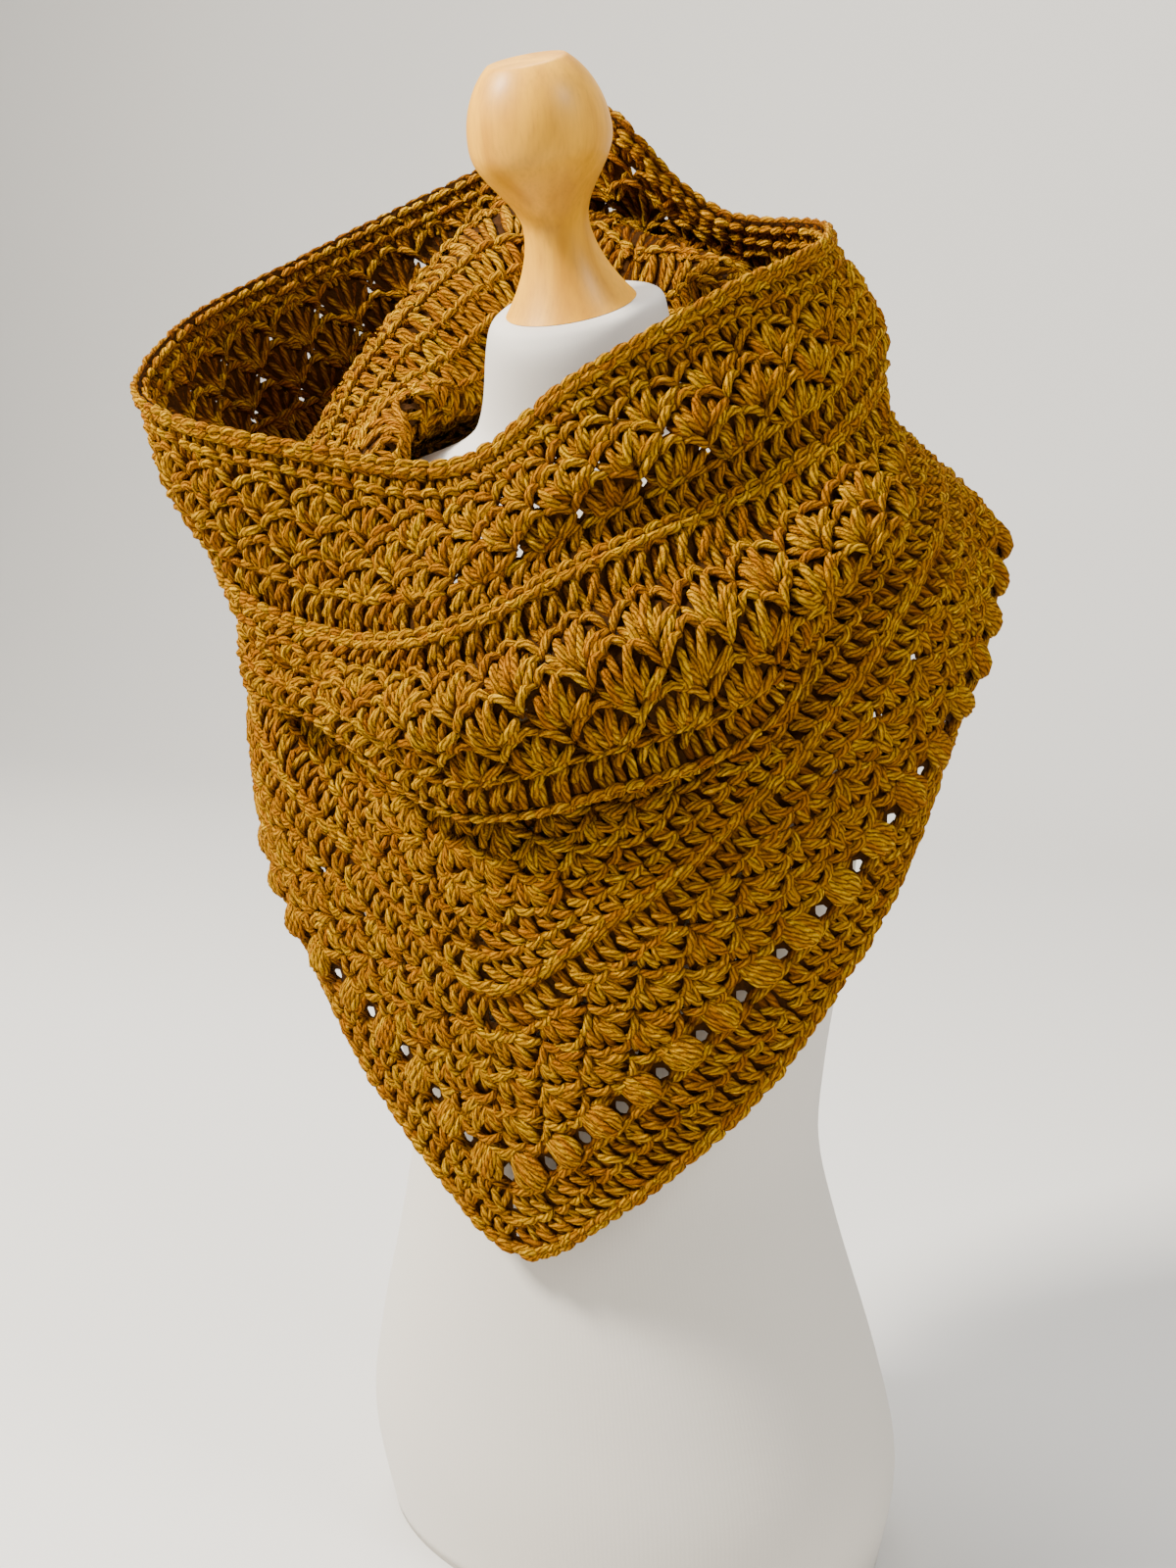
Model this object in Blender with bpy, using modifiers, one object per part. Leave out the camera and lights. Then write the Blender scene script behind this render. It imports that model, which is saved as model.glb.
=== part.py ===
"""Hooded cowl scarf worn on a dress form.

The scarf is one crocheted tube, worked in rounds from the rim of its hood to its
pointed hem. Worn, it is a folded surface of revolution that has gone out of round:
the hood stands up and flares, folds over into a drape at the front and into a roll
around the neck at the sides and back, tucks in, and falls over the shoulders to a
point at the front. REACH and HEIGHT give the middle of the cloth along each fold
line, and every sub-part is the band of it between two rounds of the crochet.

The form is a limbless torso in jersey with a turned wooden cap on its neck.
Metres, +Z up, front toward -Y, wearer's left toward +X, origin under the form.
"""

import math
from bisect import bisect_right

import bpy
from mathutils import Matrix, Vector

MM = 0.001

# ---- Cloth: driving dimensions, millimetres ----
STEPS = 60                  # sections around the cloth
SHARP = 50                  # edges sharper than this many degrees are shaded sharp
WALL = 4.0                  # thickness of the crochet, one strand of yarn
RIDGE_WALL = 5.0            # thickness of a raised chain round
BOBBLE_WALL = 8.0           # thickness of the round of bobbles
SEAM = 0.9                  # gap between bands down the cloth, some 0.3 across a slanting round
EDGING = 22.0               # rim edging: a chain and two plain rounds
RIDGE = 3.0                 # half the width of a raised chain round
BODY_RISE = 18.0            # how far up from the shoulder line the body's lace starts
TWIST = 0.8                 # more clearance each side of the ridge that the drape twists
BOBBLE = 12.0               # half the width of the round of bobbles

# Reach from the axis and height of each fold line, by direction around the body
# in degrees: 0 is the front, 90 the wearer's left, 180 the back.
DIRECTIONS = (0, 30, 60, 75, 90, 105, 120, 150, 180, 210, 240, 270, 285, 300, 330)
REACH = {
    "rim":      (116, 120, 120, 123, 126, 123, 118, 84, 52, 80, 155, 212, 224, 226, 152),
    "ridge2":   (142, 134, 138, 152, 152, 150, 143, 122, 110, 120, 150, 187, 194, 192, 147),
    "drape":    (153, 156, 170, 182, 170, 135, 95, 72, 64, 80, 106, 140, 176, 184, 160),
    "ridge1":   (143, 149, 160, 164, 143, 100, 66, 56, 53, 58, 74, 104, 134, 180, 152),
    "tuck":     (126, 128, 134, 122, 96, 88, 80, 72, 70, 64, 62, 66, 76, 92, 116),
    "shoulder": (130, 135, 139, 143, 146, 144, 138, 106, 100, 106, 122, 140, 138, 127, 133),
    "ridge0":   (124, 138, 157, 171, 184, 181, 173, 142, 126, 135, 164, 192, 187, 180, 140),
    "bobbles":  (112, 130, 158, 178, 193, 203, 211, 168, 142, 152, 182, 206, 193, 174, 127),
    "hem":      (106, 121, 150, 164, 175, 187, 192, 162, 150, 160, 184, 192, 177, 156, 122),
}
HEIGHT = {
    "rim":      (632, 672, 703, 713, 722, 729, 735, 745, 790, 798, 767, 719, 696, 666, 640),
    "ridge2":   (556, 588, 612, 632, 650, 664, 667, 678, 700, 690, 655, 625, 607, 575, 548),
    "drape":    (508, 533, 565, 582, 615, 658, 705, 726, 738, 752, 748, 672, 596, 555, 520),
    "ridge1":   (471, 482, 515, 592, 640, 693, 712, 706, 708, 730, 738, 702, 652, 534, 505),
    "tuck":     (503, 517, 598, 650, 680, 668, 664, 662, 664, 668, 664, 655, 658, 650, 590),
    "shoulder": (445, 463, 545, 601, 623, 638, 648, 640, 635, 640, 638, 624, 606, 585, 490),
    "ridge0":   (374, 416, 478, 526, 577, 603, 617, 605, 600, 605, 605, 562, 528, 490, 428),
    "bobbles":  (272, 318, 395, 445, 495, 538, 576, 555, 550, 560, 560, 492, 447, 400, 330),
    "hem":      (222, 258, 328, 387, 445, 492, 525, 500, 490, 500, 500, 447, 402, 355, 275),
}
FOLDS = tuple(REACH)

# Each band: its name, the fold lines it runs between or over with the distance
# past each in millimetres, its rows between two of them, and its thickness.
BANDS = (
    ("rim_edging", (("rim", 0), ("rim", EDGING)), 1, WALL),
    ("hood_lace", (("rim", EDGING), ("ridge2", -RIDGE)), 3, WALL),
    ("hood_ridge", (("ridge2", -RIDGE), ("ridge2", RIDGE)), 1, RIDGE_WALL),
    ("drape_lace", (("ridge2", RIDGE), ("drape", 0), ("ridge1", -RIDGE)), 3, WALL),
    ("drape_ridge", (("ridge1", TWIST - RIDGE), ("ridge1", RIDGE - TWIST)), 1, RIDGE_WALL),
    ("neck_tuck", (("ridge1", RIDGE), ("tuck", 0), ("shoulder", -BODY_RISE)), 3, WALL),
    ("body_lace", (("shoulder", -BODY_RISE), ("ridge0", -RIDGE)), 4, WALL),
    ("body_ridge", (("ridge0", -RIDGE), ("ridge0", RIDGE)), 1, RIDGE_WALL),
    ("hem_lace", (("ridge0", RIDGE), ("bobbles", -BOBBLE)), 3, WALL),
    ("bobble_round", (("bobbles", -BOBBLE), ("bobbles", 0), ("bobbles", BOBBLE)), 1, BOBBLE_WALL),
    ("hem_border", (("bobbles", BOBBLE), ("hem", 0)), 2, WALL),
)
FINE = 16                   # points of the smooth cloth line between two folds
ROUNDING = 0.7              # how broadly the cloth turns at a fold
NUDGE = 2.0                 # step, in degrees and millimetres, that finds the cloth's facing

# ---- Dress form: driving dimensions, millimetres ----
FORM_STEPS = 40             # points around each section
FORM_ROWS = 2               # rows between two sections
SECTIONS = (
    # height, half width, front, back, forward tilt in degrees
    (0, 152, 100, 118, 0),
    (60, 162, 104, 124, 0),
    (120, 152, 100, 115, 0),
    (200, 130, 94, 98, 0),
    (252, 120, 90, 88, 0),
    (300, 124, 96, 88, 0),
    (360, 134, 110, 94, 0),
    (420, 143, 122, 100, 0),
    (470, 146, 116, 104, 0),
    (520, 152, 103, 104, 0),
    (560, 159, 90, 100, 0),
    (585, 161, 77, 92, 0),
    (605, 147, 64, 79, 0),
    (622, 104, 55, 63, 0),
    (636, 66, 51, 54, 3),
    (652, 54, 51, 49, 8),
    (685, 47, 55, 38, 15),
    (697, 44, 53, 35, 17),
    (700, 39, 49, 29, 17),
)
REST = 0.3                  # gap under the cap
NECK_TILT = SECTIONS[-1][4]
NECK_TOP = SECTIONS[-1][0]
NECK_CENTRE = (SECTIONS[-1][3] - SECTIONS[-1][2]) / 2

# ---- Wooden cap: a knob on a waisted, flared foot, millimetres ----
CAP_STEPS = 32
CAP_ROWS = 8                # rows along each curved stretch of its outline
FOOT_RADIUS = 33.5
WAIST_RADIUS = 16.5
WAIST_HEIGHT = 40.0
KNOB_RADIUS = 35.3
KNOB_HEIGHT = 82.0
KNOB_CROWN = 43.0           # half the knob's height, were it not cut flat
CAP_HEIGHT = 118.0
FLARE = 1.8                 # how late the foot flares out


def colour(code):
    """Linear colour of an sRGB hex code."""
    parts = [int(code[i:i + 2], 16) / 255 for i in (0, 2, 4)]
    return [c / 12.92 if c <= 0.04045 else ((c + 0.055) / 1.055) ** 2.4 for c in parts] + [1.0]


def material(name, code, roughness):
    """A Principled material with one colour and no metal in it."""
    made = bpy.data.materials.new(name)
    made.use_nodes = True
    shader = made.node_tree.nodes["Principled BSDF"]
    shader.inputs["Base Color"].default_value = colour(code)
    shader.inputs["Roughness"].default_value = roughness
    shader.inputs["Metallic"].default_value = 0.0
    made.diffuse_color = colour(code)
    return made


def between(start, end, leaving, arriving, t):
    """Cubic curve from start to end at t from 0 to 1, with its slopes at both ends."""
    bend = 3 * (end - start) - 2 * leaving - arriving
    twist = leaving + arriving - 2 * (end - start)
    return start + leaving * t + bend * t * t + twist * t ** 3


def around(row, angle):
    """Value of a fold line's row at an angle in degrees, smooth and closed."""
    angle %= 360
    i = bisect_right(DIRECTIONS, angle) - 1
    count = len(DIRECTIONS)
    columns = range(i - 1, i + 3)
    before, here, there, after = (DIRECTIONS[j % count] + 360 * (j // count) for j in columns)
    v0, v1, v2, v3 = (row[j % count] for j in columns)
    span = there - here
    leaving = (v2 - v0) / (there - before) * span
    arriving = (v3 - v1) / (after - here) * span
    return between(v1, v2, leaving, arriving, (angle - here) / span)


def cloth_line(angle):
    """Smooth line of the cloth at an angle: its points (reach, height), the length
    along it to each point, and the length to each fold."""
    knots = [Vector((around(REACH[f], angle), around(HEIGHT[f], angle))) for f in FOLDS]
    runs = [end - start for start, end in zip(knots, knots[1:])]
    ways = [run.normalized() for run in runs]
    ways = ways[:1] + [(a + b).normalized() for a, b in zip(ways, ways[1:])] + ways[-1:]
    points = knots[:1]
    lengths = [0.0]
    folds = {FOLDS[0]: 0.0}
    for i, run in enumerate(runs):
        pull = run.length * ROUNDING
        for step in range(1, FINE + 1):
            points.append(between(knots[i], knots[i + 1], ways[i] * pull, ways[i + 1] * pull, step / FINE))
            lengths.append(lengths[-1] + (points[-1] - points[-2]).length)
        folds[FOLDS[i + 1]] = lengths[-1]
    return points, lengths, folds


def along(line, length):
    """Point (reach, height) of a cloth line at a length along it."""
    points, lengths, _ = line
    i = 0
    while i < len(points) - 2 and lengths[i + 1] < length:
        i += 1
    share = (length - lengths[i]) / (lengths[i + 1] - lengths[i])
    return points[i].lerp(points[i + 1], share)


def place(point, angle):
    """World position in millimetres of a point (reach, height) at an angle."""
    turn = math.radians(angle)
    return Vector((point[0] * math.sin(turn), -point[0] * math.cos(turn), point[1]))


def stations(line, stops, rows):
    """Lengths along a cloth line at which a band has its rows of points."""
    ends = [line[2][fold] + past for fold, past in stops]
    ends[0] += SEAM / 2
    ends[-1] -= SEAM / 2
    lengths = [ends[0]]
    for start, end in zip(ends, ends[1:]):
        lengths += [start + (end - start) * (row + 1) / rows for row in range(rows)]
    return lengths


def band_section(angle, stops, rows, wall):
    """Closed section of a band at an angle: down its outer face, up its inner one."""
    line, beside = cloth_line(angle), cloth_line(angle + NUDGE)
    lengths = stations(line, stops, rows)
    lengths_beside = stations(beside, stops, rows)
    outer, inner = [], []
    for length, length_beside in zip(lengths, lengths_beside):
        middle = place(along(line, length), angle)
        down = place(along(line, length + NUDGE), angle) - place(along(line, length - NUDGE), angle)
        aside = place(along(beside, length_beside), angle + NUDGE) - middle
        out = down.cross(aside).normalized() * wall / 2
        outer.append(middle + out)
        inner.append(middle - out)
    return outer + inner[::-1]


def add_mesh(name, points, faces, coat, collection):
    """One solid from points in millimetres, shaded smooth up to its sharp edges."""
    mesh = bpy.data.meshes.new(name)
    mesh.from_pydata([p * MM for p in points], [], faces)
    mesh.materials.append(coat)
    mesh.shade_smooth()
    mesh.set_sharp_from_angle(angle=math.radians(SHARP))
    made = bpy.data.objects.new(name, mesh)
    collection.objects.link(made)
    return made


def add_band(name, stops, rows, wall, coat, collection):
    """A band of cloth: its closed sections, lofted around the body into a ring."""
    sections = [band_section(i * 360 / STEPS, stops, rows, wall) for i in range(STEPS)]
    size = len(sections[0])
    faces = []
    for i in range(STEPS):
        here, there = i * size, (i + 1) % STEPS * size
        for j in range(size - 1):
            faces.append((here + j, here + j + 1, there + j + 1, there + j))
        faces.append((here, there, there + size - 1, here + size - 1))
    return add_mesh(name, [p for section in sections for p in section], faces, coat, collection)


def form_section(height, width, front, back, tilt):
    """Ring of points of the form: two half ellipses, tilted forward."""
    ring = []
    centre = (back - front) / 2
    for i in range(FORM_STEPS):
        turn = 2 * math.pi * i / FORM_STEPS
        depth = front if math.cos(turn) > 0 else back
        y = -depth * math.cos(turn)
        rise = (y - centre) * math.tan(math.radians(tilt))
        ring.append(Vector((width * math.sin(turn), y, height + rise)))
    return ring


def add_form(coat, collection):
    """The torso and neck: sections lofted from the flat underside to the flat neck."""
    padded = SECTIONS[:1] + SECTIONS + SECTIONS[-1:]
    rings = []
    for i in range(1, len(SECTIONS)):
        columns = list(zip(*padded[i - 1:i + 3]))
        for row in range(FORM_ROWS):
            sizes = (between(b, c, (c - a) / 2, (d - b) / 2, row / FORM_ROWS) for a, b, c, d in columns)
            rings.append(form_section(*sizes))
    rings.append(form_section(*SECTIONS[-1]))
    faces = [tuple(range(FORM_STEPS))[::-1]]
    for i in range(len(rings) - 1):
        for j in range(FORM_STEPS):
            k = (j + 1) % FORM_STEPS
            low, high = i * FORM_STEPS, (i + 1) * FORM_STEPS
            faces.append((low + j, low + k, high + k, high + j))
    faces.append(tuple(range(len(rings) * FORM_STEPS - FORM_STEPS, len(rings) * FORM_STEPS)))
    return add_mesh("dress_form", [p for ring in rings for p in ring], faces, coat, collection)


def cap_outline():
    """Outline (radius, height) of the cap from its flat top down to its foot."""
    outline = [(0.0, CAP_HEIGHT)]
    crown = math.asin((CAP_HEIGHT - KNOB_HEIGHT) / KNOB_CROWN)
    for row in range(CAP_ROWS + 1):
        turn = crown * (1 - row / CAP_ROWS)
        outline.append((KNOB_RADIUS * math.cos(turn), KNOB_HEIGHT + KNOB_CROWN * math.sin(turn)))
    for row in range(1, CAP_ROWS + 1):
        share = row / CAP_ROWS
        swell = (1 + math.cos(math.pi * share)) / 2
        height = KNOB_HEIGHT + (WAIST_HEIGHT - KNOB_HEIGHT) * share
        outline.append((WAIST_RADIUS + (KNOB_RADIUS - WAIST_RADIUS) * swell, height))
    for row in range(1, CAP_ROWS + 1):
        share = row / CAP_ROWS
        outline.append((WAIST_RADIUS + (FOOT_RADIUS - WAIST_RADIUS) * share ** FLARE,
                        WAIST_HEIGHT * (1 - share)))
    outline.append((0.0, 0.0))
    return outline


def add_cap(coat, collection):
    """The wooden cap: its outline turned with a Screw modifier, leaning with the neck."""
    outline = cap_outline()
    edges = [(i, i + 1) for i in range(len(outline) - 1)]
    mesh = bpy.data.meshes.new("wooden_cap")
    mesh.from_pydata([(radius * MM, 0, height * MM) for radius, height in outline], edges, [])
    mesh.materials.append(coat)
    made = bpy.data.objects.new("wooden_cap", mesh)
    collection.objects.link(made)
    screw = made.modifiers.new("turned", "SCREW")
    screw.steps = CAP_STEPS
    screw.render_steps = CAP_STEPS
    screw.use_merge_vertices = True
    screw.merge_threshold = 0.00001
    screw.use_smooth_shade = True
    lean = Matrix.Rotation(math.radians(NECK_TILT), 4, "X")
    seat = Vector((0, NECK_CENTRE, NECK_TOP)) + lean @ Vector((0, 0, REST))
    made.location = seat * MM
    made.rotation_euler = lean.to_euler()
    return made


def main():
    for old in list(bpy.data.objects):
        bpy.data.objects.remove(old)
    collection = bpy.data.collections.new("hooded_cowl_scarf")
    bpy.context.scene.collection.children.link(collection)
    yarn = material("ochre_yarn", "A87410", 0.9)
    jersey = material("cream_jersey", "DEDAD2", 0.8)
    wood = material("honey_wood", "D9A668", 0.4)
    for name, stops, rows, wall in BANDS:
        add_band(name, stops, rows, wall, yarn, collection)
    add_form(jersey, collection)
    add_cap(wood, collection)


main()
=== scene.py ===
"""Looks of the hooded cowl scarf and the dress form that wears it.

The scarf is drawn stitch by stitch on the cloth's own form: every stitch is a few
strands of plied yarn, laid out in local millimetres, set along its round and bent
to the cloth. Behind the stitches of each band lies a thin ground of yarn, dark as
painted shade between them, with the lace holes left open in it. The form is a smooth
jersey torso and the cap is turned wood. Sizes of the object are millimetres until
they reach a mesh.
"""

import math

import bpy
import numpy as np
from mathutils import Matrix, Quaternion, Vector


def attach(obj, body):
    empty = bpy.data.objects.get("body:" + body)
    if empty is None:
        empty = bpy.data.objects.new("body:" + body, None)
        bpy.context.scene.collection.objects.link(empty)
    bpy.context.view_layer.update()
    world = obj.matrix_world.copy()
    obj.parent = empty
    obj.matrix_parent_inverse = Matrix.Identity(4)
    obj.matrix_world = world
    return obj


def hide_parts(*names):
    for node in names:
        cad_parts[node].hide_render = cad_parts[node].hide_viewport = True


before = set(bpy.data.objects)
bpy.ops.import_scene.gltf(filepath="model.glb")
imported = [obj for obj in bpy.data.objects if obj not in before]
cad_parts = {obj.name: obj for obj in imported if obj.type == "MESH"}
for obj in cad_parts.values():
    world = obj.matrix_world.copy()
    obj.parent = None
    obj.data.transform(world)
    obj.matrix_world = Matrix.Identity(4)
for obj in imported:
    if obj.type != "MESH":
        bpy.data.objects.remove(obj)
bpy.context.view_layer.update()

MM = 0.001

# ---- Form of the cloth: the CAD's own fold lines, millimetres ----
# Each line is a closed curve: how far from the form's axis and how high it runs in each
# direction, counted in degrees from the front toward the wearer's left.
DIRECTIONS = (0, 30, 60, 75, 90, 105, 120, 150, 180, 210, 240, 270, 285, 300, 330)
REACH = {
    "rim":      (116, 120, 120, 123, 126, 123, 118, 84, 52, 80, 155, 212, 224, 226, 152),
    "ridge2":   (142, 134, 138, 152, 152, 150, 143, 122, 110, 120, 150, 187, 194, 192, 147),
    "drape":    (153, 156, 170, 182, 170, 135, 95, 72, 64, 80, 106, 140, 176, 184, 160),
    "ridge1":   (143, 149, 160, 164, 143, 100, 66, 56, 53, 58, 74, 104, 134, 180, 152),
    "tuck":     (126, 128, 134, 122, 96, 88, 80, 72, 70, 64, 62, 66, 76, 92, 116),
    "shoulder": (130, 135, 139, 143, 146, 144, 138, 106, 100, 106, 122, 140, 138, 127, 133),
    "ridge0":   (124, 138, 157, 171, 184, 181, 173, 142, 126, 135, 164, 192, 187, 180, 140),
    "bobbles":  (112, 130, 158, 178, 193, 203, 211, 168, 142, 152, 182, 206, 193, 174, 127),
    "hem":      (106, 121, 150, 164, 175, 187, 192, 162, 150, 160, 184, 192, 177, 156, 122),
}
HEIGHT = {
    "rim":      (632, 672, 703, 713, 722, 729, 735, 745, 790, 798, 767, 719, 696, 666, 640),
    "ridge2":   (556, 588, 612, 632, 650, 664, 667, 678, 700, 690, 655, 625, 607, 575, 548),
    "drape":    (508, 533, 565, 582, 615, 658, 705, 726, 738, 752, 748, 672, 596, 555, 520),
    "ridge1":   (471, 482, 515, 592, 640, 693, 712, 706, 708, 730, 738, 702, 652, 534, 505),
    "tuck":     (503, 517, 598, 650, 680, 668, 664, 662, 664, 668, 664, 655, 658, 650, 590),
    "shoulder": (445, 463, 545, 601, 623, 638, 648, 640, 635, 640, 638, 624, 606, 585, 490),
    "ridge0":   (374, 416, 478, 526, 577, 603, 617, 605, 600, 605, 605, 562, 528, 490, 428),
    "bobbles":  (272, 318, 395, 445, 495, 538, 576, 555, 550, 560, 560, 492, 447, 400, 330),
    "hem":      (222, 258, 328, 387, 445, 492, 525, 500, 490, 500, 500, 447, 402, 355, 275),
}
FOLDS = tuple(REACH)
EDGING = 22.0               # rim edging: a chain and two low rounds
RIDGE = 3.0                 # half the width of a raised chain round
BODY_RISE = 18.0            # how far up from the shoulder line the body's lace starts
BOBBLE = 12.0               # half the width of the round of bobbles
FINE = 16                   # points of the smooth cloth line between two folds
ROUNDING = 0.7              # how broadly the cloth turns at a fold

ANGLES = 1440               # directions at which the cloth is worked out
DEPTHS = 420                # points down the cloth in each of them
LAST_ROW = DEPTHS - 1.001   # just short of the last of them
SELVEDGE = 12.0             # how far the cloth line runs on past both edges

# ---- Yarn and stitches, millimetres ----
YARN = 4.6                  # thickness of the yarn
LAY = 26.0                  # length in which its plies go once round it
LAY_SPREAD = 0.2            # how much that differs from strand to strand, as a share
PLIES = 5
PLY_APART = 3.7             # how far apart the tones of neighbouring plies are drawn
STRAND_APART = 40.0         # how far apart those of different strands are drawn
LENGTH_OF_TONE = 5.0        # length in which a ply turns from dull to bright
SIDES = 6                   # sides of a strand's section
FIBRES = 4.0                # streaks of fibre across a ply
FIBRE_LENGTH = 4.0          # length of a streak
TIP = 0.35                  # thickness of a strand's ends, as a share of the yarn's
FAN_WIDTH = 33.0            # pitch of the fans
FAN_HEIGHT = 17.5           # height of a round for which the fan is drawn
FAN_FOOT = 1.6              # how far from its middle a fan's outer stitches start
FAN_SPREAD = 13.0           # how far from it they end
FAN_SHOULDER = 0.66         # how high they end, as a share of the round
FAN_ARCH = 1.12             # how high the middle stitch ends
FAN_VALLEY = 0.60           # how low the loops along its top come between two fans
FAN_CURVE = 1.6             # how late they come down
FAN_ROOT = 0.30             # how far a fan reaches back into the round before it
FAN_BULGE = 1.0             # how far it swells out of the cloth
FLATTER = 0.78              # relief of the rounds worked down, as a share of the others
CORNER = 3.6                # half the hole at the centre front of each round worked down
GATHER = 9.0                # how far from the centre front its stitches lean together
GATHER_TO = 0.9             # share of the round's height at which they stop leaning
EVEN_OUT = 0.3              # share of the way a fan moves to the middle of its neighbours
EVEN_PASSES = 2             # how many times it does
STITCH_SPREAD = (0.4, 0.03, 0.35)   # how stitches differ along, up and out of the cloth
LEAN_SPREAD = 1.2           # how differently they lean along the round
STRAND_SPREAD = 0.5         # how far their strands stray along the round
WAVER = 0.4                 # how far a strand wavers along the round
WAVER_OUT = 0.3             # how far it wavers out of the cloth
SHADE_FROM = 0.8            # distance from the ground at which a strand leaves its shade
SHADE_TO = 2.6              # distance at which it is in full colour
BACK_SHADE = 0.65           # the same distances behind the ground, as a share of these
OPEN_SHARE = 0.1            # share of the round of bobbles that is holes
GROUND = 0.3                # where the ground lies, from the middle of the cloth
TUCKED_GROUND = 1.6         # where it lies in the neck's tuck, which is seen from its wrong side
ROUND_OFF = 0.45            # how far a hole's corners draw in, as a share of a quad of ground
BOBBLE_LEAN = 2.5           # how far a bobble's lip leans along its round
BOBBLE_RINGS = 9            # rings of each strand of a bobble
CHAIN_RINGS = 7             # rings of each strand of the chains beside it

# Each strand of a stitch: its rings, and its points as millimetres along the
# round, share of the round's height, and millimetres out of the cloth. A fan's
# RAY lies across and along the line from its root to its top, and its EDGE starts
# from the height of its arch.
PLAIN = (
    (6, ((-0.9, -0.20, -0.6), (-2.3, 0.14, 0.0), (-2.3, 0.44, 0.2), (-1.5, 0.74, 0.0),
         (-1.0, 0.97, -0.4))),
    (6, ((1.2, -0.20, -0.4), (2.2, 0.14, 0.9), (2.2, 0.44, 1.2), (1.8, 0.74, 1.0),
         (1.2, 0.97, 0.2))),
    (6, ((-4.2, 0.26, -1.2), (-2.6, 0.40, 2.2), (1.2, 0.66, 3.0), (3.6, 0.86, 1.4),
         (4.6, 0.94, -1.0))),
    (6, ((-6.8, 0.84, -0.6), (-3.2, 1.01, 2.3), (1.6, 1.02, 2.8), (5.6, 0.84, -0.4))),
    (4, ((-6.0, 1.04, -0.4), (-0.5, 1.10, -1.0), (5.4, 1.04, -0.4))),
)
RAY = (
    (6, ((-1.0, 0.00, -2.4), (-2.0, 0.30, 0.1), (-2.9, 0.62, 0.3), (-3.3, 0.94, -0.3))),
    (6, ((1.0, 0.00, -2.2), (2.0, 0.30, 0.8), (2.8, 0.62, 1.3), (3.2, 0.92, 0.1))),
    (6, ((-3.0, 0.12, -2.4), (-2.0, 0.36, 1.4), (0.8, 0.64, 2.6), (3.6, 0.84, 1.4),
         (4.6, 0.92, -0.8))),
)
EDGE = (
    (6, ((-7.0, -0.16, -0.6), (-3.2, 0.00, 2.4), (1.6, 0.02, 3.0), (6.2, -0.16, -0.4))),
    (4, ((-6.4, 0.02, -0.2), (-0.5, 0.10, -0.9), (5.6, 0.02, -0.2))),
)
LOW = (
    (4, ((-1.4, -0.35, -0.4), (-2.0, 0.35, 0.9), (-0.9, 0.88, 0.2))),
    (4, ((1.8, -0.35, -0.4), (1.9, 0.35, 1.1), (0.9, 0.88, 0.4))),
    (6, ((-6.2, 0.70, -0.6), (-2.4, 1.00, 2.3), (2.3, 0.94, 2.5), (5.6, 0.58, -0.4))),
    (4, ((-5.0, 1.08, -0.7), (0.0, 1.18, -1.2), (5.0, 1.04, -0.6))),
)
LINK = (
    (6, ((-5.4, 0.48, 0.9), (-2.4, 0.20, 2.9), (1.6, 0.10, 3.4), (5.6, 0.44, 2.2))),
    (6, ((-5.4, 0.52, 0.8), (-2.4, 0.80, 2.7), (1.6, 0.90, 3.2), (5.6, 0.56, 2.0))),
)
CORD = (
    (6, ((-6.4, 0.26, 0.6), (-2.2, 0.30, 2.6), (2.6, 0.44, 2.9), (6.2, 0.56, 0.8))),
    (5, ((-5.4, 0.92, -0.2), (-0.8, 0.84, 0.9), (3.0, 0.94, 0.8), (5.6, 1.04, -0.2))),
)
BAR = (
    (7, ((-8.0, 0.92, 0.4), (-3.6, 0.99, 2.2), (0.4, 1.03, 2.8), (4.0, 0.98, 2.4),
         (8.0, 0.90, 0.4))),
    (6, ((-7.0, 1.10, -0.4), (-2.6, 1.16, 0.8), (2.4, 1.14, 1.0), (7.0, 1.08, -0.4))),
)
# The chains above and below the bobbles: how far out of the cloth and how high each
# lies, and one chain's points as millimetres along the round, share of the round's
# height, and millimetres out of the cloth, from where it lies.
CHAINS = ((0.6, 0.02), (0.4, 0.18), (0.4, 0.86), (2.0, 1.0))
CHAIN = ((-15, 0, -1), (-8, -0.03, 0), (0, 0, 0.3), (8, -0.02, 0), (15, 0, -1))

STITCHES = {"plain": PLAIN, "low": LOW, "link": LINK, "cord": CORD, "bar": BAR}

# Pitch of each kind of stitch along its round.
WIDTHS = {
    "plain": 10.4, "low": 9.6, "link": 8.6, "cord": 8.6,
    "bar": 10.4, "fan": FAN_WIDTH, "bobble": 28.0,
}

# The ground behind each kind of stitch: quads along a stitch's room and up it, and the
# columns and rows of them left open, counted from the gap between two stitches.
GROUNDS = {
    "fan": (10, 6, (9, 0), (1, 2, 3)),
    "bobble": (10, 6, (9, 0), (2, 3, 4)),
    "plain": (2, 3, (), ()),
    "low": (2, 3, (), ()),
    "link": (2, 1, (), ()),
    "cord": (2, 1, (), ()),
}

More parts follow.
